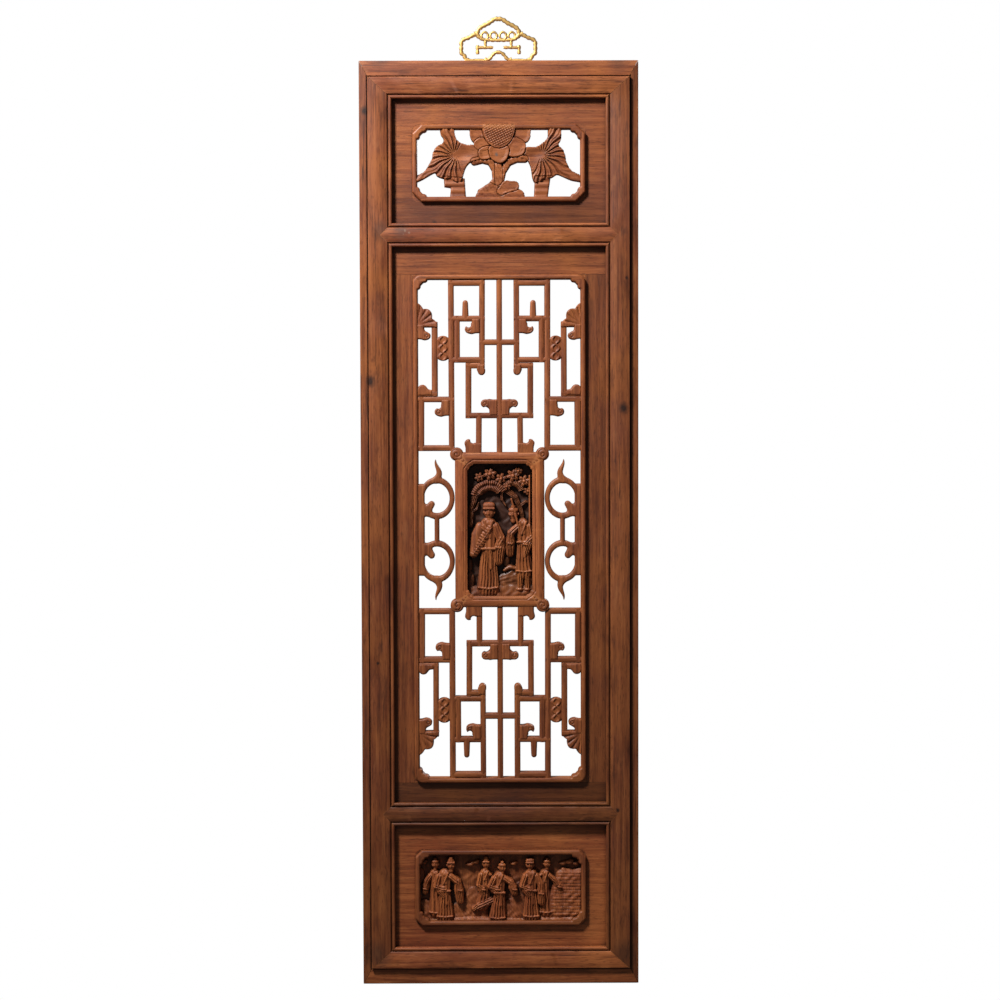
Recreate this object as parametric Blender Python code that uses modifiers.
# Carved window panel: moulded frame, flat boards, lotus panel, fretwork with a figure cartouche,
# figure panel and an openwork brass hanger. Metres, +Z up, the front looks towards -Y.
# The origin is the point of the hanger that rests on the nail.

import math

import bmesh
import bpy
import numpy as np
from mathutils import Matrix

MM = 0.001

# Frame
PANEL_WIDTH = 354 * MM
PANEL_HEIGHT = 1180 * MM
FRAME_DEPTH = 34 * MM
SIDE_STRIP = 11 * MM            # rebated outer strip of the stiles
END_STRIP = 20.5 * MM           # rebated outer strip of the top and bottom rails
STRIP_DROP = 5 * MM             # the strip lies this far behind the raised face
SIDE_FACE = 30.5 * MM           # raised face of the stiles with its bead
END_FACE = 27.5 * MM            # raised face of the top and bottom rails
BEAD_WIDTH = 4.6 * MM
QUIRK_WIDTH = 1.4 * MM
QUIRK_DEPTH = 2.2 * MM
CROSS_RAIL_WIDTH = 30 * MM
SMALL_COMPARTMENT = 157 * MM    # clear height between an end rail and the cross rail beside it
JOINT_GAP = 0.3 * MM            # between wooden pieces that touch

# Boards in the frame's groove
BOARD_RECESS = 9 * MM           # board face behind the raised face
BOARD_THICKNESS = 12 * MM
GROOVE_DEPTH = 8 * MM

# Raised borders around the carvings
BORDER_WIDTH = 6.5 * MM
BORDER_RISE = 6 * MM            # border face in front of the boards
BORDER_RADIUS = 9 * MM
NOTCH = 12.5 * MM               # reach of the scalloped inner corners

# Openings for the carvings, from the edges of their compartment
SIDE_MARGIN = 32 * MM
SMALL_TOP_MARGIN = 38.5 * MM
SMALL_BOTTOM_MARGIN = 33.5 * MM
FRET_TOP_MARGIN = 41.5 * MM
FRET_BOTTOM_MARGIN = 31.5 * MM

# Fretwork
FRET_BAR = 7.6 * MM
FRET_RECESS = 4.5 * MM          # bar face behind the raised face of the frame
FRET_THICKNESS = 13 * MM

# Cartouche in the fretwork
CARTOUCHE_WIDTH = 114 * MM
CARTOUCHE_HEIGHT = 198 * MM
CARTOUCHE_SIDE = 15.5 * MM      # width of its upright members
CARTOUCHE_END = 14.3 * MM       # width of its level members
CARTOUCHE_RECESS = 2.2 * MM
CARTOUCHE_NOTCH = 8 * MM

# Carving depths, behind the raised face of the frame
LOTUS_RECESS = 2.5 * MM
GROUND_RECESS = 15 * MM         # sunk background of the two figure carvings
RELIEF_RECESS = 3.5 * MM        # highest points of the figures

# Hanger
HANGER_WIDTH = 100 * MM
HANGER_RISE = 55 * MM           # nail bearing above the panel's top edge
HANGER_PLATE = 3 * MM
HANGER_BAND = 4.6 * MM
HANGER_TAB_DROP = 26 * MM       # how far the tabs reach down behind the top rail
NAIL_FLAT = 14 * MM
SCREW_RADIUS = 3.6 * MM
SCREW_SHANK = 1.5 * MM
SCREW_HEAD = 1.8 * MM
SCREW_LENGTH = 14 * MM
CLEARANCE = 0.3 * MM            # around the hanger and its screws

FRAME_BACK = -HANGER_PLATE / 2 - CLEARANCE
FRAME_FRONT = FRAME_BACK - FRAME_DEPTH
PANEL_TOP = -HANGER_RISE
PANEL_MIDDLE = PANEL_TOP - PANEL_HEIGHT / 2
INNER_HALF_WIDTH = PANEL_WIDTH / 2 - SIDE_STRIP - SIDE_FACE
INNER_HALF_HEIGHT = PANEL_HEIGHT / 2 - END_STRIP - END_FACE
CROSS_RAIL_OFFSET = INNER_HALF_HEIGHT - SMALL_COMPARTMENT - CROSS_RAIL_WIDTH / 2
OPENING_WIDTH = 2 * (INNER_HALF_WIDTH - SIDE_MARGIN)
SMALL_OPENING_HEIGHT = SMALL_COMPARTMENT - SMALL_TOP_MARGIN - SMALL_BOTTOM_MARGIN
SMALL_OPENING_DROP = (SMALL_TOP_MARGIN - SMALL_BOTTOM_MARGIN) / 2
FRET_OPENING_HEIGHT = 2 * CROSS_RAIL_OFFSET - CROSS_RAIL_WIDTH - FRET_TOP_MARGIN - FRET_BOTTOM_MARGIN
FRET_DROP = (FRET_TOP_MARGIN - FRET_BOTTOM_MARGIN) / 2
BORDER_RECESS = BOARD_RECESS - BORDER_RISE
BOARD_BACK = BOARD_RECESS + BOARD_THICKNESS


def clear_scene():
    for thing in list(bpy.data.objects):
        bpy.data.objects.remove(thing, do_unlink=True)


def new_collection(name):
    old = bpy.data.collections.get(name)
    if old:
        bpy.data.collections.remove(old)
    group = bpy.data.collections.new(name)
    bpy.context.scene.collection.children.link(group)
    return group


clear_scene()
PARTS = new_collection("carved_window_panel")
CUTTERS = new_collection("carved_window_panel_cutters")


def make_material(name, colour, roughness, metallic=0.0):
    material = bpy.data.materials.get(name) or bpy.data.materials.new(name)
    material.use_nodes = True
    shader = material.node_tree.nodes["Principled BSDF"]
    shader.inputs["Base Color"].default_value = (*colour, 1.0)
    shader.inputs["Roughness"].default_value = roughness
    shader.inputs["Metallic"].default_value = metallic
    return material


FRAME_WOOD = make_material("frame_wood", (0.17, 0.062, 0.028), 0.5)
BOARD_WOOD = make_material("board_wood", (0.15, 0.055, 0.026), 0.55)
CARVED_WOOD = make_material("carved_wood", (0.23, 0.08, 0.03), 0.45)
FRET_WOOD = make_material("fret_wood", (0.26, 0.09, 0.034), 0.45)
RELIEF_WOOD = make_material("relief_wood", (0.2, 0.07, 0.028), 0.5)
HANGER_BRASS = make_material("hanger_brass", (0.83, 0.58, 0.2), 0.3, 1.0)
SCREW_STEEL = make_material("screw_steel", (0.45, 0.42, 0.38), 0.4, 1.0)


def finish_mesh(name, bm, group, material=None):
    """Turn a bmesh into a named object with its faces pointing out."""
    bmesh.ops.recalc_face_normals(bm, faces=bm.faces)
    mesh = bpy.data.meshes.new(name)
    bm.to_mesh(mesh)
    bm.free()
    thing = bpy.data.objects.new(name, mesh)
    group.objects.link(thing)
    if material:
        mesh.materials.append(material)
    if group is CUTTERS:
        thing.hide_render = True
        thing.display_type = "WIRE"
    return thing


def depth(recess):
    """World Y of a plane that lies the given distance behind the frame's raised face."""
    return FRAME_FRONT + recess


def plate(name, outlines, front, back, group, material=None):
    """A flat plate from outlines in (x, z): the first is its edge and the rest are holes."""
    curve = bpy.data.curves.new(name, "CURVE")
    curve.dimensions = "2D"
    curve.fill_mode = "BOTH"
    curve.extrude = (back - front) / 2
    for outline in outlines:
        spline = curve.splines.new("POLY")
        spline.points.add(len(outline) - 1)
        for point, (x, z) in zip(spline.points, outline):
            point.co = (x, z, 0.0, 1.0)
        spline.use_cyclic_u = True
    flat = bpy.data.objects.new(name, curve)
    flat.rotation_euler = (math.pi / 2, 0.0, 0.0)
    flat.location.y = (front + back) / 2
    CUTTERS.objects.link(flat)
    bpy.context.view_layer.update()
    evaluated = flat.evaluated_get(bpy.context.evaluated_depsgraph_get())
    mesh = bpy.data.meshes.new_from_object(evaluated)
    bm = bmesh.new()
    bm.from_mesh(mesh)
    bmesh.ops.remove_doubles(bm, verts=bm.verts, dist=0.00001)
    bmesh.ops.transform(bm, matrix=flat.matrix_world, verts=bm.verts)
    bpy.data.objects.remove(flat)
    bpy.data.meshes.remove(mesh)
    bpy.data.curves.remove(curve)
    return finish_mesh(name, bm, group, material)


def block(name, x_range, y_range, z_range, group, material=None):
    bm = bmesh.new()
    bmesh.ops.create_cube(bm, size=1.0)
    size = [high - low for low, high in (x_range, y_range, z_range)]
    centre = [(high + low) / 2 for low, high in (x_range, y_range, z_range)]
    bmesh.ops.scale(bm, vec=size, verts=bm.verts)
    bmesh.ops.translate(bm, vec=centre, verts=bm.verts)
    return finish_mesh(name, bm, group, material)


def join_with(thing, pieces_name, pieces):
    """Union of an object with loose pieces, which are kept in a collection of their own."""
    group = bpy.data.collections.new(pieces_name)
    CUTTERS.children.link(group)
    for piece in pieces:
        group.objects.link(piece)
        CUTTERS.objects.unlink(piece)
    union = thing.modifiers.new("join_" + pieces_name, "BOOLEAN")
    union.operation = "UNION"
    union.operand_type = "COLLECTION"
    union.collection = group
    union.solver = "EXACT"
    return union


def cut_with(thing, cutter):
    cut = thing.modifiers.new("cut_" + cutter.name, "BOOLEAN")
    cut.operation = "DIFFERENCE"
    cut.object = cutter
    cut.solver = "EXACT"
    return cut


def arc(cx, cz, rx, rz, start, end, steps):
    """Points on an ellipse from one angle to another, in degrees."""
    angles = [math.radians(start + (end - start) * i / steps) for i in range(steps + 1)]
    return [(cx + rx * math.cos(a), cz + rz * math.sin(a)) for a in angles]


def disc(cx, cz, rx, rz, steps=12):
    return arc(cx, cz, rx, rz, 0, 360, steps)[:-1]


def rounded_outline(half_w, half_h, radius, steps=4):
    points = []
    for sx, sz, start in ((1, 1, 0), (-1, 1, 90), (-1, -1, 180), (1, -1, 270)):
        cx = sx * (half_w - radius)
        cz = sz * (half_h - radius)
        points += arc(cx, cz, radius, radius, start, start + 90, steps)
    return points


def notched_outline(half_w, half_h, notch):
    """A rectangle whose corners are cut by two small scallops each."""
    corner = [(notch, 0.0), (0.74 * notch, 0.17 * notch), (0.5 * notch, 0.5 * notch),
              (0.17 * notch, 0.74 * notch), (0.0, notch)]
    points = []
    for sx, sz, order in ((1, 1, 1), (1, -1, -1), (-1, -1, 1), (-1, 1, -1)):
        for a, b in corner[::order]:
            points.append((sx * (half_w - a), sz * (half_h - b)))
    return points


def moved(points, dx, dz):
    return [(x + dx, z + dz) for x, z in points]


def band_outline(path, widths):
    """Edge of a flat band that follows a path, with mitred bends and its width at each point."""
    path = np.array(path, dtype=float)
    along = np.diff(path, axis=0)
    along /= np.linalg.norm(along, axis=1)[:, None]
    normals = np.column_stack([-along[:, 1], along[:, 0]])
    before = np.vstack([normals[:1], normals])
    after = np.vstack([normals, normals[-1:]])
    side = (before + after) / (1 + np.sum(before * after, axis=1))[:, None]
    half = np.broadcast_to(np.array(widths, dtype=float), len(path))[:, None] / 2
    left = path + side * half
    right = path - side * half
    return [tuple(p) for p in np.vstack([left, right[::-1]])]


# Frame members

def bead_profile(edge, side=1):
    """Quirk and bead up to a moulded edge, as (across, depth) points in the order of the edge."""
    bead_start = edge - side * BEAD_WIDTH
    points = [(bead_start - side * QUIRK_WIDTH, 0.0), (bead_start, QUIRK_DEPTH)]
    for step in range(1, 5):
        angle = math.pi * step / 5
        across = bead_start + side * BEAD_WIDTH * (1 - math.cos(angle)) / 2
        points.append((across, QUIRK_DEPTH * (1 - math.sin(angle)) + 0.1 * MM))
    points.append((edge, QUIRK_DEPTH))
    return points


def groove_profile(edge, side=1):
    """The groove that holds the boards, below a moulded edge, ending at the frame's back."""
    bottom = edge - side * GROOVE_DEPTH
    front = BOARD_RECESS - JOINT_GAP
    back = BOARD_BACK + JOINT_GAP
    return [(edge, front), (bottom, front), (bottom, back), (edge, back), (edge, FRAME_DEPTH)]


def swept_member(name, halves, end_at, place):
    """Sweep a profile made of two faces that share an edge, and shape both ends with end_at."""
    bm = bmesh.new()
    made = {}

    def vertex(across, deep):
        key = (round(across, 7), round(deep, 7))
        if key not in made:
            made[key] = bm.verts.new((across, deep, 0.0))
        return made[key]

    for half in halves:
        bm.faces.new([vertex(*point) for point in half])
    swept = bmesh.ops.extrude_face_region(bm, geom=bm.faces[:])
    far = {item for item in swept["geom"] if isinstance(item, bmesh.types.BMVert)}
    for vert in bm.verts:
        reach = end_at(vert.co.x)
        vert.co.z = reach if vert in far else -reach
    bmesh.ops.transform(bm, matrix=place, verts=bm.verts)
    return finish_mesh(name, bm, PARTS, FRAME_WOOD)


def outer_member_profile(strip, face):
    edge = strip + face
    strip_face = [(0.0, STRIP_DROP), (strip, STRIP_DROP), (strip, FRAME_DEPTH), (0.0, FRAME_DEPTH)]
    raised = [(strip, STRIP_DROP), (strip, 0.0)] + bead_profile(edge) + groove_profile(edge)
    raised.append((strip, FRAME_DEPTH))
    return [strip_face, raised]


def make_stile(name, side):
    def end_at(across):
        strip_part = min(across, SIDE_STRIP) * END_STRIP / SIDE_STRIP
        face_part = max(across - SIDE_STRIP, 0.0) * END_FACE / SIDE_FACE
        return PANEL_HEIGHT / 2 - strip_part - face_part

    # The profile's across axis runs from the outer edge inwards.
    place = Matrix(((-side, 0, 0, side * PANEL_WIDTH / 2), (0, 1, 0, FRAME_FRONT),
                    (0, 0, 1, PANEL_MIDDLE), (0, 0, 0, 1)))
    stile = swept_member(name, outer_member_profile(SIDE_STRIP, SIDE_FACE), end_at, place)
    for word, z in (("upper", CROSS_RAIL_OFFSET), ("lower", -CROSS_RAIL_OFFSET)):
        reach = CROSS_RAIL_WIDTH / 2 + JOINT_GAP * math.sqrt(2)
        past = 5 * MM
        point = INNER_HALF_WIDTH + reach
        open_x = INNER_HALF_WIDTH - past
        shoulder = [(side * point, z), (side * open_x, z + reach + past), (side * open_x, z - reach - past)]
        cutter = plate(f"{name}_{word}_shoulder", [moved(shoulder, 0, PANEL_MIDDLE)],
                       FRAME_FRONT - past, FRAME_BACK + past, CUTTERS)
        cut_with(stile, cutter)
    return stile


def make_end_rail(name, side):
    def end_at(across):
        strip_part = min(across, END_STRIP) * SIDE_STRIP / END_STRIP
        face_part = max(across - END_STRIP, 0.0) * SIDE_FACE / END_FACE
        return PANEL_WIDTH / 2 - strip_part - face_part - 1.5 * JOINT_GAP

    place = Matrix(((0, 0, 1, 0), (0, 1, 0, FRAME_FRONT),
                    (-side, 0, 0, PANEL_MIDDLE + side * PANEL_HEIGHT / 2), (0, 0, 0, 1)))
    return swept_member(name, outer_member_profile(END_STRIP, END_FACE), end_at, place)


def make_cross_rail(name, z):
    half = CROSS_RAIL_WIDTH / 2

    def end_at(across):
        return INNER_HALF_WIDTH + half - abs(across)

    upper = [(0.0, 0.0)] + bead_profile(half) + groove_profile(half) + [(0.0, FRAME_DEPTH)]
    lower = [(-across, deep) for across, deep in upper]
    place = Matrix(((0, 0, 1, 0), (0, 1, 0, FRAME_FRONT), (1, 0, 0, PANEL_MIDDLE + z), (0, 0, 0, 1)))
    return swept_member(name, [upper, lower[::-1]], end_at, place)


def make_frame():
    make_stile("left_stile", -1)
    make_stile("right_stile", 1)
    make_end_rail("top_rail", 1)
    make_end_rail("bottom_rail", -1)
    make_cross_rail("upper_cross_rail", CROSS_RAIL_OFFSET)
    make_cross_rail("lower_cross_rail", -CROSS_RAIL_OFFSET)


# Boards

TONGUE = GROOVE_DEPTH - JOINT_GAP
BOARD_HALF_WIDTH = INNER_HALF_WIDTH + TONGUE
SMALL_LOW = CROSS_RAIL_OFFSET + CROSS_RAIL_WIDTH / 2
SMALL_MIDDLE = (INNER_HALF_HEIGHT + SMALL_LOW) / 2
SMALL_HALF_HEIGHT = (INNER_HALF_HEIGHT - SMALL_LOW) / 2 + TONGUE
CENTRE_HALF_HEIGHT = CROSS_RAIL_OFFSET - CROSS_RAIL_WIDTH / 2 + TONGUE


def border_outer(width, height):
    return width / 2 + BORDER_WIDTH, height / 2 + BORDER_WIDTH


def make_small_board(name, side):
    """A board with an opening for its carved panel's border."""
    half_w, half_h = border_outer(OPENING_WIDTH, SMALL_OPENING_HEIGHT)
    board_z = PANEL_MIDDLE + side * SMALL_MIDDLE
    outer = moved(rounded_outline(BOARD_HALF_WIDTH, SMALL_HALF_HEIGHT, 1 * MM, 1), 0, board_z)
    hole = rounded_outline(half_w + JOINT_GAP, half_h + JOINT_GAP, BORDER_RADIUS + JOINT_GAP)
    hole = moved(hole, 0, board_z - SMALL_OPENING_DROP)
    return plate(name, [outer, hole], depth(BOARD_RECESS), depth(BOARD_BACK), PARTS, BOARD_WOOD)


def make_centre_boards():
    """Level boards above and below the fretwork and upright boards beside it."""
    half_w, half_h = border_outer(OPENING_WIDTH, FRET_OPENING_HEIGHT)
    low = PANEL_MIDDLE - FRET_DROP - half_h - JOINT_GAP
    high = PANEL_MIDDLE - FRET_DROP + half_h + JOINT_GAP
    deep = (depth(BOARD_RECESS), depth(BOARD_BACK))
    wide = (-BOARD_HALF_WIDTH, BOARD_HALF_WIDTH)
    top = (high, PANEL_MIDDLE + CENTRE_HALF_HEIGHT)
    bottom = (PANEL_MIDDLE - CENTRE_HALF_HEIGHT, low)
    upright = (low + JOINT_GAP, high - JOINT_GAP)
    block("centre_board_top", wide, deep, top, PARTS, BOARD_WOOD)
    block("centre_board_bottom", wide, deep, bottom, PARTS, BOARD_WOOD)
    inner = half_w + JOINT_GAP
    block("centre_board_left", (-BOARD_HALF_WIDTH, -inner), deep, upright, PARTS, BOARD_WOOD)
    block("centre_board_right", (inner, BOARD_HALF_WIDTH), deep, upright, PARTS, BOARD_WOOD)


# Fretwork

def fret_hook(x, z, width, height, nose_x, nose_z, nose_radius):
    """A cloud-head hook: a block with its low corner at (x, z) and a round nose beside it."""
    body = [(x, z), (x + width, z), (x + width, z + height), (x, z + height)]
    neck = moved(rectangle((nose_x - x) / 2, 0.9 * nose_radius), (nose_x + x) / 2, nose_z)
    return [body, disc(nose_x, nose_z, nose_radius, nose_radius, 8)], neck


def fret_outlines(half_w, half_h, cart_w, cart_h):
    """Every bar, hook and scroll of the upper right quarter, as outlines around the middle."""
    bar = FRET_BAR
    # Upright lines as shares of the half width, level lines as shares of the half height.
    claw, near, inner, twin = 0.255 * half_w, 0.212 * half_w, 0.381 * half_w, 0.52 * half_w
    main, outer, edge = 0.591 * half_w, 0.795 * half_w, half_w - bar / 2
    foot, claw_top, hook_top = 0.328 * half_h, 0.458 * half_h, 0.523 * half_h
    hook_base = hook_top + 0.97 * bar
    box_low, bridge = 0.681 * half_h, 0.751 * half_h
    nose_bar = box_low - 0.97 * bar
    fan_base, box_top, head = 0.822 * half_h, 0.8455 * half_h, half_h - bar / 2
    past = 2 * MM
    uprights = [(0.0, cart_h - past, half_h + past), (near, nose_bar, half_h + past),
                (main, foot, half_h + past), (twin, box_low, box_top), (inner, claw_top, nose_bar),
                (claw, cart_h - past, claw_top), (outer, hook_base, fan_base),
                (edge, foot, hook_top)]
    levels = [(head, near, main), (box_top, near, main), (box_low, near, main),
              (bridge, 0.0, near), (nose_bar, near, inner), (claw_top, 0.0, inner),
              (hook_top, main, half_w), (hook_base, outer, half_w), (fan_base, outer, half_w),
              (foot, main, half_w)]
    outlines = []
    for x, low, high in uprights:
        outlines.append(moved(rectangle(bar / 2, (high - low) / 2 + bar / 2 - 0.01 * MM), x, (high + low) / 2))
    for z, left, right in levels:
        end = min(right + bar / 2, half_w + past)
        outlines.append(moved(rectangle((end - left + bar / 2) / 2, bar / 2), (end + left - bar / 2) / 2, z))
    nose = 0.6 * bar
    hooks = [
        # Inside the top box, hanging beside the second upright.
        (near + 0.4 * bar, box_top - 2.45 * bar, 1.4 * bar, 2.45 * bar, near + 2.3 * bar, box_top - 1.83 * bar),
        # On the middle upright, above the claw's top bar.
        (0.4 * bar, claw_top, 1.4 * bar, 2.7 * bar, 2.55 * bar, claw_top + 2.08 * bar),
        # Below the side hook bar, on the outside of the main upright.
        (main + 0.4 * bar, hook_top - 2.75 * bar, 1.35 * bar, 2.75 * bar, main + 2.25 * bar,
         hook_top - 2.13 * bar),
        # Drop below the fan leaf, against the border.
        (half_w - 0.95 * bar, fan_base - 2.45 * bar, 1.1 * bar, 2.45 * bar, half_w - 1.45 * bar,
         fan_base - 1.95 * bar),
    ]
    for hook in hooks:
        pieces, neck = fret_hook(*hook, nose)
        outlines += pieces + [neck]
    # Nose below the inner end of the bar under the box, and the low knob on the side bar.
    outlines.append(disc(near + 0.15 * bar, nose_bar - 1.05 * bar, nose, nose * 1.1, 8))
    outlines.append(disc(half_w - 0.7 * bar, hook_base + 0.75 * bar, 0.85 * bar, 0.75 * bar, 8))
    # Block on the cartouche's top with its nose at the outer end.
    block_low, block_high = cart_h - past, cart_h + 1.6 * bar
    outlines.append([(claw - 0.45 * bar, block_low), (claw + 2.25 * bar, block_low),
                     (claw + 2.25 * bar, block_high), (claw - 0.45 * bar, block_high)])
    outlines.append(disc(claw + 1.8 * bar, block_high, 0.5 * bar, 0.75 * bar, 8))
    # Finger on the top box, knot between two uprights, fan leaf in the corner.
    finger = (near + main) / 2 + 0.2 * bar
    outlines.append([(finger - 0.44 * bar, box_top), (finger + 0.44 * bar, box_top)]
                    + arc(finger, box_top + 2.6 * bar, 0.44 * bar, 0.5 * bar, 0, 180, 4))
    knot_z = 0.727 * half_h
    outlines.append(moved(rounded_outline((outer - main) / 2, 2.1 * bar, 0.5 * bar, 2),
                          (main + outer) / 2, knot_z))
    fan_reach = half_w + past - outer + bar / 2
    outlines.append(fan_outline(half_w + past, fan_base - 0.3 * bar, fan_reach, 3.75 * bar))
    # Rings, stem and tendril between the cartouche and the border.
    ring_x, ring_z = (half_w + cart_w) / 2, 0.127 * half_h
    ring_rx, ring_rz = (half_w - cart_w) / 2 + 0.6 * MM, 0.083 * half_h
    band = 0.85 * bar
    ring = disc(ring_x, ring_z, ring_rx, ring_rz, 20)
    hole = disc(ring_x - 0.1 * bar, ring_z, ring_rx - band, ring_rz - band, 20)
    stem = moved(rectangle(0.4 * bar, (ring_z - ring_rz) + band), ring_x, 0.0)
    side_bar = [(half_w - 1.15 * bar, -past), (half_w + past, -past),
                (half_w + past, ring_z + 0.5 * ring_rz), (half_w - 1.15 * bar, ring_z + 0.5 * ring_rz)]
    outlines += [stem, side_bar]
    nose_z = ring_z - 0.45 * ring_rz
    outlines.append(disc(half_w - 2.15 * bar, nose_z, 0.62 * bar, 0.68 * bar, 8))
    outlines.append([(half_w - 2.1 * bar, nose_z - 0.5 * bar), (half_w - bar, nose_z - 0.8 * bar),
                     (half_w - bar, nose_z + 0.8 * bar), (half_w - 2.1 * bar, nose_z + 0.2 * bar)])
    tip_x, root_z = ring_x + 0.2 * bar, ring_z + ring_rz - 0.5 * band
    tendril = [(tip_x - 0.7 * bar, root_z), (tip_x - 0.85 * bar, root_z + 0.7 * bar),
               (tip_x - 0.35 * bar, root_z + 1.6 * bar), (tip_x + 0.15 * bar, root_z + 2.3 * bar),
               (tip_x - 0.05 * bar, root_z + 3.2 * bar)]
    outlines.append(band_outline(tendril, [1.3 * bar, 0.9 * bar, 0.8 * bar, 0.6 * bar, 0.12 * bar]))
    outlines.append(disc(cart_w - 0.35 * bar, cart_h - 0.35 * bar, bar, 0.95 * bar, 10))
    return outlines, (ring, hole)


def rectangle(half_w, half_h):
    return [(-half_w, -half_h), (half_w, -half_h), (half_w, half_h), (-half_w, half_h)]


def fan_outline(corner_x, corner_z, reach, rise):
    """A quarter fan with three lobes that opens from the border's side."""
    points = [(corner_x, corner_z)]
    steps = 12
    for i in range(steps + 1):
        share = i / steps
        angle = math.radians(180 - 90 * share)
        lobe = 0.92 + 0.08 * abs(math.sin(3 * math.pi * share))
        points.append((corner_x + reach * lobe * math.cos(angle), corner_z + rise * lobe * math.sin(angle)))
    return points


def merge_flat_faces(thing):
    """Join the coplanar faces that a union leaves behind."""
    flat = thing.modifiers.new("flat", "DECIMATE")
    flat.decimate_type = "DISSOLVE"
    flat.angle_limit = math.radians(0.5)


def add_mirror(thing, axes):
    mirror = thing.modifiers.new("mirror", "MIRROR")
    mirror.use_axis = axes
    mirror.use_bisect_axis = axes
    mirror.use_mirror_merge = True
    mirror.merge_threshold = 0.00005
    mirror.bisect_threshold = 0.00001


def make_fretwork():
    """The fretwork's upper right quarter, mirrored to the left and downwards."""
    half_w, half_h = OPENING_WIDTH / 2, FRET_OPENING_HEIGHT / 2
    cart_w, cart_h = CARTOUCHE_WIDTH / 2, CARTOUCHE_HEIGHT / 2
    outer_w, outer_h = border_outer(OPENING_WIDTH, FRET_OPENING_HEIGHT)
    border = plate("fretwork_panel", [rounded_outline(outer_w, outer_h, BORDER_RADIUS),
                                      notched_outline(half_w, half_h, NOTCH)],
                   depth(BORDER_RECESS), depth(BOARD_BACK), PARTS, FRET_WOOD)
    front, back = depth(FRET_RECESS), depth(FRET_RECESS + FRET_THICKNESS)
    ledge = [rectangle(outer_w, outer_h), rounded_outline(half_w + 2 * MM, half_h + 2 * MM, NOTCH)]
    pieces = [plate("fret_ledge", ledge, depth(BOARD_RECESS), depth(BOARD_BACK), CUTTERS)]
    outlines, ring = fret_outlines(half_w, half_h, cart_w, cart_h)
    pieces += [plate(f"fret_piece_{i}", [outline], front, back, CUTTERS) for i, outline in enumerate(outlines)]
    pieces.append(plate("fret_ring", ring, front, back, CUTTERS))
    cart_in_w, cart_in_h = cart_w - CARTOUCHE_SIDE, cart_h - CARTOUCHE_END
    pieces.append(plate("fret_cartouche", [rounded_outline(cart_w, cart_h, 2 * MM, 2),
                                           notched_outline(cart_in_w, cart_in_h, CARTOUCHE_NOTCH)],
                        depth(CARTOUCHE_RECESS), depth(BOARD_BACK), CUTTERS))
    join_with(border, "fret_pieces", pieces)
    add_mirror(border, (True, False, True))
    merge_flat_faces(border)
    border.location.z = PANEL_MIDDLE - FRET_DROP
    for piece in pieces:
        piece.location.z = border.location.z
    return border


# Relief carving on a grid

class Relief:
    """A carved field: heights over a grid, raised by soft forms that keep the highest surface."""

    def __init__(self, x, z):
        self.x = x
        self.z = z
        self.height = np.zeros_like(x)

    def raise_to(self, form, base, rise):
        inside = form > 0
        self.height = np.where(inside, np.maximum(self.height, base + rise * form), self.height)

    def dome(self, cx, cz, rx, rz, turn=0.0):
        turn = math.radians(turn)
        dx, dz = self.x - cx, self.z - cz
        a = (dx * math.cos(turn) + dz * math.sin(turn)) / rx
        b = (dz * math.cos(turn) - dx * math.sin(turn)) / rz
        return np.sqrt(np.clip(1 - a * a - b * b, 0, None))

    def limb(self, x0, z0, x1, z1, r0, r1):
        """A round limb that tapers from one point to another."""
        ax, az = x1 - x0, z1 - z0
        share = ((self.x - x0) * ax + (self.z - z0) * az) / (ax * ax + az * az)
        share = np.clip(share, 0, 1)
        radius = r0 + (r1 - r0) * share
        gap = np.hypot(self.x - x0 - share * ax, self.z - z0 - share * az)
        return np.sqrt(np.clip(1 - (gap / radius) ** 2, 0, None))

    def folds(self, cx, pitch, lean=0.0):
        return 0.5 + 0.5 * np.cos(2 * np.pi * (self.x - cx - lean * self.z) / pitch)

    def figure(self, cx, foot, tall, lean=0.0, base=0.3, left_hand=(-0.2, 0.5), right_hand=(0.2, 0.5)):
        """A standing robed figure; places are shares of its own height."""
        def at(share_x, share_z):
            return cx + (share_x + lean * share_z) * tall, foot + share_z * tall

        skirt = self.limb(*at(0, 0.5), *at(0, 0.08), 0.12 * tall, 0.17 * tall)
        self.raise_to(skirt * (0.85 + 0.15 * self.folds(cx, 0.07 * tall)), base, 0.4)
        self.raise_to(self.limb(*at(0, 0.52), *at(0, 0.76), 0.13 * tall, 0.14 * tall), base + 0.05, 0.42)
        for side, hand in ((-1, left_hand), (1, right_hand)):
            upper_arm = self.limb(*at(0.11 * side, 0.74), *at(*hand), 0.06 * tall, 0.075 * tall)
            self.raise_to(upper_arm, base + 0.15, 0.45)
            drop = (hand[0], hand[1] - 0.2)
            self.raise_to(self.limb(*at(*hand), *at(*drop), 0.055 * tall, 0.06 * tall), base + 0.12, 0.4)
        self.raise_to(self.dome(*at(0, 0.9), 0.062 * tall, 0.078 * tall), base + 0.2, 0.5)
        self.raise_to(self.dome(*at(0, 0.975), 0.052 * tall, 0.035 * tall), base + 0.2, 0.42)
        for side in (-1, 1):
            self.raise_to(self.dome(*at(0.07 * side, 0.02), 0.05 * tall, 0.025 * tall), base + 0.1, 0.4)


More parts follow.
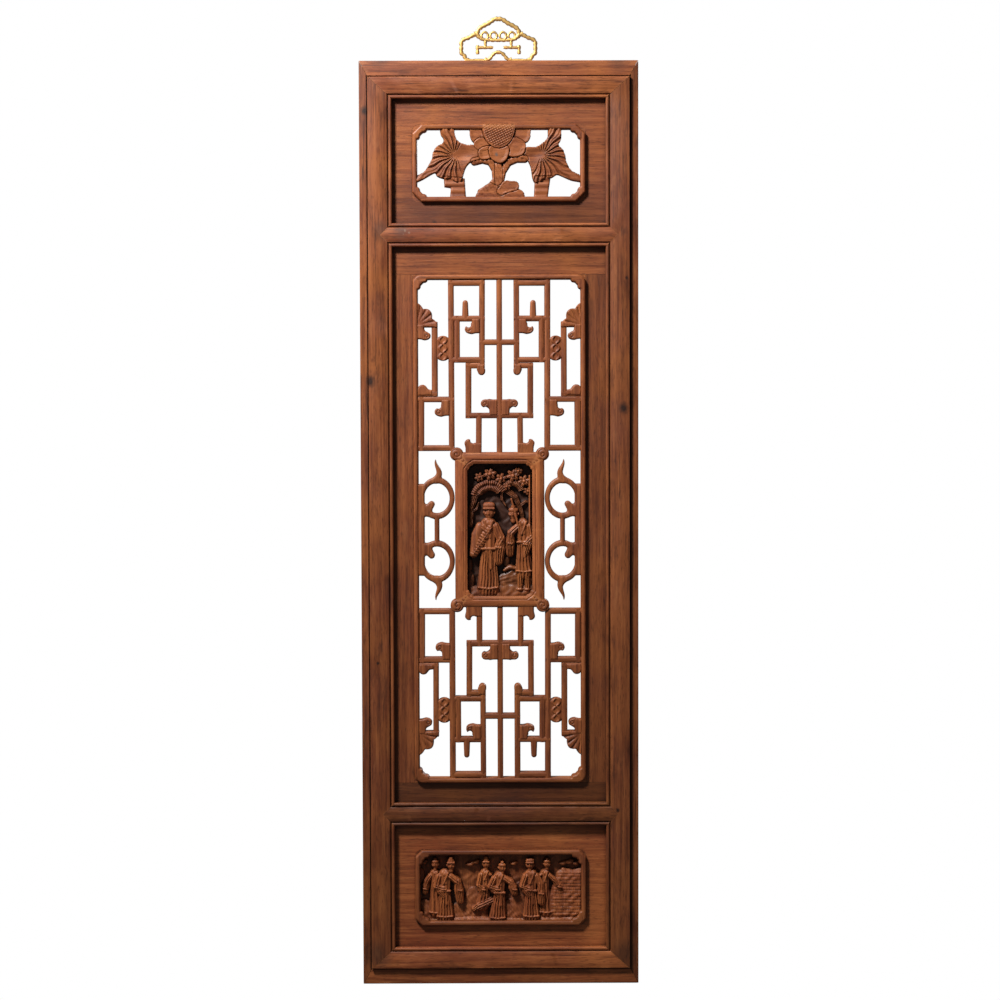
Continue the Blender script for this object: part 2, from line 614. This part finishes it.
def relief_solid(name, half_w, half_h, notch, step, carve, middle_z, keep, material):
    """A carved plaque: its front follows the carving and its sides follow a notched outline."""
    bm = bmesh.new()
    columns, rows = round(2 * half_w / step), round(2 * half_h / step)
    bmesh.ops.create_grid(bm, x_segments=columns, y_segments=rows, size=1.0)
    points = np.array([vert.co[:] for vert in bm.verts])
    z = points[:, 1] * half_h
    pull = np.clip(notch - (half_h - np.abs(z)), 0, None)
    x = points[:, 0] * (half_w - pull)
    field = Relief(x, z)
    carve(field, half_w, half_h)
    rim = np.minimum(half_w - pull - np.abs(x), half_h - np.abs(z)) < 0.4 * step
    height = np.where(rim, np.minimum(field.height, 0.6), field.height)
    front = depth(GROUND_RECESS) - np.clip(height, 0, 1) * (GROUND_RECESS - RELIEF_RECESS)
    for vert, px, pz, py in zip(bm.verts, x, z, front):
        vert.co = (px, py, pz + middle_z)
    backed = bmesh.ops.extrude_face_region(bm, geom=bm.faces[:])
    rear = {item for item in backed["geom"] if isinstance(item, bmesh.types.BMVert)}
    for vert in rear:
        vert.co.y = depth(BOARD_BACK)
    rear_faces = {face for face in bm.faces if all(vert in rear for vert in face.verts)}
    inner_edges = [edge for edge in bm.edges if all(face in rear_faces for face in edge.link_faces)]
    bmesh.ops.dissolve_edges(bm, edges=inner_edges, use_verts=True)
    thing = finish_mesh(name, bm, PARTS, material)
    thin = thing.modifiers.new("thin", "DECIMATE")
    thin.ratio = keep
    return thing


def carve_cartouche(field, half_w, half_h):
    """Two robed figures under a tree on sloping ground."""
    w, h = half_w, half_h
    field.raise_to(field.limb(-0.9 * w, -0.86 * h, 0.9 * w, -0.84 * h, 0.2 * h, 0.24 * h), 0.1, 0.3)
    field.raise_to(field.limb(-0.6 * w, 0.45 * h, 0.1 * w, 0.62 * h, 0.07 * h, 0.05 * h), 0.3, 0.3)
    field.raise_to(field.dome(-0.35 * w, 0.5 * h, 0.42 * w, 0.17 * h, 20), 0.2, 0.35)
    leaves = ((-0.3, 0.84, 0.13), (0.0, 0.68, 0.15), (0.42, 0.84, 0.12), (0.74, 0.72, 0.16), (-0.02, 0.52, 0.1))
    for cx, cz, r in leaves:
        field.raise_to(field.dome(cx * w, cz * h, r * w * 1.2, r * w), 0.35, 0.4)
    field.raise_to(field.limb(0.45 * w, 0.45 * h, 0.62 * w, 0.22 * h, 0.05 * w, 0.05 * w), 0.3, 0.4)
    field.raise_to(field.limb(0.93 * w, 0.75 * h, 0.93 * w, -0.1 * h, 0.03 * w, 0.03 * w), 0.3, 0.4)
    field.figure(0.62 * w, -0.96 * h, 1.24 * h, -0.06, 0.22, (-0.23, 0.52), (0.13, 0.5))
    field.figure(-0.28 * w, -0.93 * h, 1.28 * h, 0.0, 0.34, (-0.25, 0.56), (0.17, 0.5))


def carve_figure_row(field, half_w, half_h):
    """A row of robed figures on a ledge, before a low rock wall on the right."""
    w, h = half_w, half_h
    field.raise_to(field.limb(-w, -h, w, -h, 0.2 * h, 0.2 * h), 0.1, 0.3)
    wall = field.limb(0.7 * w, 0.6 * h, w, -0.9 * h, 0.3 * w, 0.3 * w)
    field.raise_to(wall * (0.8 + 0.2 * np.cos(2 * np.pi * field.z / (0.2 * h))), 0.12, 0.18)
    row = ((-0.79, 1.68, 0.02, 0.22), (-0.62, 1.72, 0.03, 0.34), (-0.2, 1.7, 0.0, 0.26),
           (0.0, 1.6, 0.03, 0.36), (0.3, 1.62, 0.0, 0.34), (0.48, 1.66, 0.04, 0.24))
    for cx, tall, lean, base in row:
        field.figure(cx * w, -0.88 * h, tall * h, lean, base, (-0.2, 0.55), (0.2, 0.5))


def make_cartouche_relief():
    half_w = CARTOUCHE_WIDTH / 2 - CARTOUCHE_SIDE - JOINT_GAP
    half_h = CARTOUCHE_HEIGHT / 2 - CARTOUCHE_END - JOINT_GAP
    return relief_solid("cartouche_relief", half_w, half_h, CARTOUCHE_NOTCH + 1.5 * JOINT_GAP, 1.7 * MM,
                        carve_cartouche, PANEL_MIDDLE - FRET_DROP, 0.2, RELIEF_WOOD)


def make_figure_panel():
    """Border of the bottom carving and the carved row of figures inside it."""
    half_w, half_h = OPENING_WIDTH / 2, SMALL_OPENING_HEIGHT / 2
    outer_w, outer_h = border_outer(OPENING_WIDTH, SMALL_OPENING_HEIGHT)
    middle = PANEL_MIDDLE - SMALL_MIDDLE - SMALL_OPENING_DROP
    outer = moved(rounded_outline(outer_w, outer_h, BORDER_RADIUS), 0, middle)
    inner = moved(notched_outline(half_w, half_h, NOTCH), 0, middle)
    plate("figure_panel_border", [outer, inner], depth(BORDER_RECESS), depth(BOARD_BACK), PARTS, CARVED_WOOD)
    relief_solid("figure_relief", half_w - JOINT_GAP, half_h - JOINT_GAP, NOTCH + 1.5 * JOINT_GAP, 1.7 * MM,
                 carve_figure_row, middle, 0.18, RELIEF_WOOD)


# Lotus panel

def leaf_outline(half_w, half_h, side):
    """A big lobed leaf that spreads from its neck beside the flower to the border."""
    shares = [(0.17, 0.1), (0.33, 0.53), (0.45, 0.74), (0.56, 0.82), (0.68, 0.96), (0.73, 0.76), (0.70, 0.58),
              (0.77, 0.48), (0.82, 0.2), (0.92, -0.08), (1.03, -0.38), (1.03, -0.56), (0.92, -0.5),
              (0.83, -0.33), (0.77, -0.28), (0.68, -0.47), (0.57, -0.38), (0.48, -0.56), (0.41, -0.14),
              (0.33, 0.06), (0.25, 0.02)]
    return [(side * a * half_w, b * half_h) for a, b in shares]


def make_lotus_panel():
    """Border, lotus flower with seed head and petals, two leaves, stems and ground, carved as one."""
    half_w, half_h = OPENING_WIDTH / 2, SMALL_OPENING_HEIGHT / 2
    outer_w, outer_h = border_outer(OPENING_WIDTH, SMALL_OPENING_HEIGHT)
    middle = PANEL_MIDDLE + SMALL_MIDDLE - SMALL_OPENING_DROP
    border = plate("lotus_panel", [rounded_outline(outer_w, outer_h, BORDER_RADIUS),
                                   notched_outline(half_w, half_h, NOTCH)],
                   depth(BORDER_RECESS), depth(BOARD_BACK), PARTS, CARVED_WOOD)
    w, h = half_w, half_h
    back = depth(FRET_RECESS + FRET_THICKNESS)

    def carved(name, outline, lift):
        return plate("lotus_" + name, [outline], depth(LOTUS_RECESS + lift), back, CUTTERS)

    seed_top = h + 0.9 * BORDER_WIDTH
    seed_head = [(0.2 * w, seed_top), (-0.2 * w, seed_top)] + arc(0.0, h, 0.2 * w, 0.64 * h, 180, 360, 12)
    pieces = [carved("seed_head", seed_head, 0.0)]
    petals = ((0.0, 0.22, 0.13, 0.24), (0.2, 0.42, 0.12, 0.3), (-0.2, 0.42, 0.12, 0.3),
              (0.27, 0.74, 0.12, 0.24), (-0.27, 0.74, 0.12, 0.24))
    for i, (cx, cz, rx, rz) in enumerate(petals):
        lift = 1.2 * MM + 0.2 * MM * (i % 3)
        pieces.append(carved(f"petal_{i}", disc(cx * w, cz * h, rx * w, rz * h, 12), lift))
    for word, side in (("left", -1), ("right", 1)):
        pieces.append(carved(f"{word}_leaf", leaf_outline(w, h, side), 2 * MM))
        foot = [(side * 0.43 * w, -0.98 * h - 2 * MM), (side * 0.5 * w, -0.6 * h), (side * 0.56 * w, -0.3 * h)]
        pieces.append(carved(f"{word}_stalk", band_outline(foot, [0.2 * w, 0.13 * w, 0.16 * w]), 3 * MM))
        arm = [(side * 0.26 * w, 0.16 * h), (side * 0.16 * w, -0.1 * h), (side * 0.05 * w, -0.45 * h),
               (side * 0.03 * w, -0.75 * h)]
        pieces.append(carved(f"{word}_stem", band_outline(arm, 0.055 * w), 3 * MM))
    stem = [(0.0, 0.1 * h), (0.0, -0.3 * h), (-0.02 * w, -0.8 * h)]
    pieces.append(carved("stem", band_outline(stem, [0.08 * w, 0.07 * w, 0.1 * w]), 2.6 * MM))
    mound = arc(0.0, -h - 2 * MM, 0.28 * w, 0.48 * h, 0, 180, 10)
    pieces.append(carved("mound", mound, 2.2 * MM))
    join_with(border, "lotus_pieces", pieces)
    merge_flat_faces(border)
    border.location.z = middle
    for piece in pieces:
        piece.location.z = middle
    return border


# Hanger

def make_hanger():
    """Openwork plate: an arch over a row of loops, stepped side bars and tabs behind the top rail."""
    half = HANGER_WIDTH / 2
    band = HANGER_BAND
    front, back = -HANGER_PLATE / 2, HANGER_PLATE / 2
    drop = HANGER_RISE

    def at(share_x, share_z):
        return share_x * half, -share_z * drop

    # Right half of the arch's middle line, from the flat over the nail to the arch's foot.
    arch = [(-NAIL_FLAT / 2, band / 2), (NAIL_FLAT / 2, band / 2), at(0.27, 0.06), at(0.44, 0.16),
            at(0.54, 0.22), at(0.56, 0.3), at(0.52, 0.38)]
    side_bar = [at(0.5, 0.36), at(0.63, 0.345), at(0.73, 0.385), at(0.85, 0.43), at(0.95, 0.47),
                at(0.95, 0.6), at(0.95, 0.78), at(0.86, 0.88), at(0.76, 0.9)]
    rail = [at(-0.08, 0.42), at(0.52, 0.42)]
    post = [at(0.32, 0.42), at(0.32, 0.57)]
    inner = [at(0.12, 0.57), at(0.52, 0.57), at(0.53, 0.75)]
    base = [at(0.23, 0.93), at(0.94, 0.93)]
    low_arch = [at(-0.06, 0.69), at(0.1, 0.7), at(0.2, 0.77), at(0.28, 0.93)]
    tab_x = 0.7 * half
    tab = [(tab_x, -0.9 * drop), (tab_x, -drop - HANGER_TAB_DROP)]
    paths = [side_bar, rail, inner, post, base, low_arch]
    loops = [0.13, 0.34]
    hanger = plate("brass_hanger", [band_outline(arch, band)], front, back, PARTS, HANGER_BRASS)
    pieces = [plate(f"hanger_band_{i}", [band_outline(path, 0.82 * band)], front, back, CUTTERS)
              for i, path in enumerate(paths)]
    for i, share in enumerate(loops):
        cx, cz = at(share, 0.29)
        ring = [disc(cx, cz, 0.112 * half, 0.112 * drop, 12), disc(cx, cz, 0.045 * half, 0.05 * drop, 8)]
        pieces.append(plate(f"hanger_loop_{i}", ring, front, back, CUTTERS))
    hole_z = -drop - HANGER_TAB_DROP + 1.3 * band
    hole_radius = SCREW_SHANK + CLEARANCE
    hole = disc(tab_x, hole_z, hole_radius, hole_radius, 12)
    pieces.append(plate("hanger_tab", [band_outline(tab, 2.4 * band), hole], front, back, CUTTERS))
    join_with(hanger, "hanger_pieces", pieces)
    add_mirror(hanger, (True, False, False))
    merge_flat_faces(hanger)
    return tab_x, hole_z


def make_screw(name, x, z):
    """A round-head screw through the hanger's tab into the back of the top rail."""
    bm = bmesh.new()
    profile = [(0.0, SCREW_HEAD), (0.7 * SCREW_RADIUS, 0.8 * SCREW_HEAD), (SCREW_RADIUS, 0.25 * SCREW_HEAD),
               (SCREW_RADIUS, 0.0), (SCREW_SHANK, 0.0), (SCREW_SHANK, -SCREW_LENGTH + 2 * MM),
               (0.0, -SCREW_LENGTH)]
    verts = [bm.verts.new((radius, 0.0, height)) for radius, height in profile]
    edges = [bm.edges.new(pair) for pair in zip(verts, verts[1:])]
    bmesh.ops.spin(bm, geom=verts + edges, cent=(0, 0, 0), axis=(0, 0, 1), angle=2 * math.pi, steps=16)
    bmesh.ops.remove_doubles(bm, verts=bm.verts, dist=0.00001)
    face_y = HANGER_PLATE / 2 + CLEARANCE
    # The screw's own +Z, out of its head, becomes +Y.
    place = Matrix(((1, 0, 0, x), (0, 0, 1, face_y), (0, -1, 0, z), (0, 0, 0, 1)))
    bmesh.ops.transform(bm, matrix=place, verts=bm.verts)
    return finish_mesh(name, bm, PARTS, SCREW_STEEL)


def drill_top_rail(x, z):
    """Pilot holes for the two screws in the back of the top rail."""
    rail = bpy.data.objects["top_rail"]
    for word, side in (("left", -1), ("right", 1)):
        radius = SCREW_SHANK + CLEARANCE
        deep = SCREW_LENGTH - HANGER_PLATE
        past = 2 * MM
        hole = plate(f"pilot_{word}", [disc(side * x, z, radius, radius, 10)],
                     FRAME_BACK - deep, FRAME_BACK + past, CUTTERS)
        cut_with(rail, hole)


make_frame()
make_small_board("top_board", 1)
make_small_board("bottom_board", -1)
make_centre_boards()
make_fretwork()
make_cartouche_relief()
make_lotus_panel()
make_figure_panel()
screw_x, screw_z = make_hanger()
drill_top_rail(screw_x, screw_z)
make_screw("hanger_screw_left", -screw_x, screw_z)
make_screw("hanger_screw_right", screw_x, screw_z)
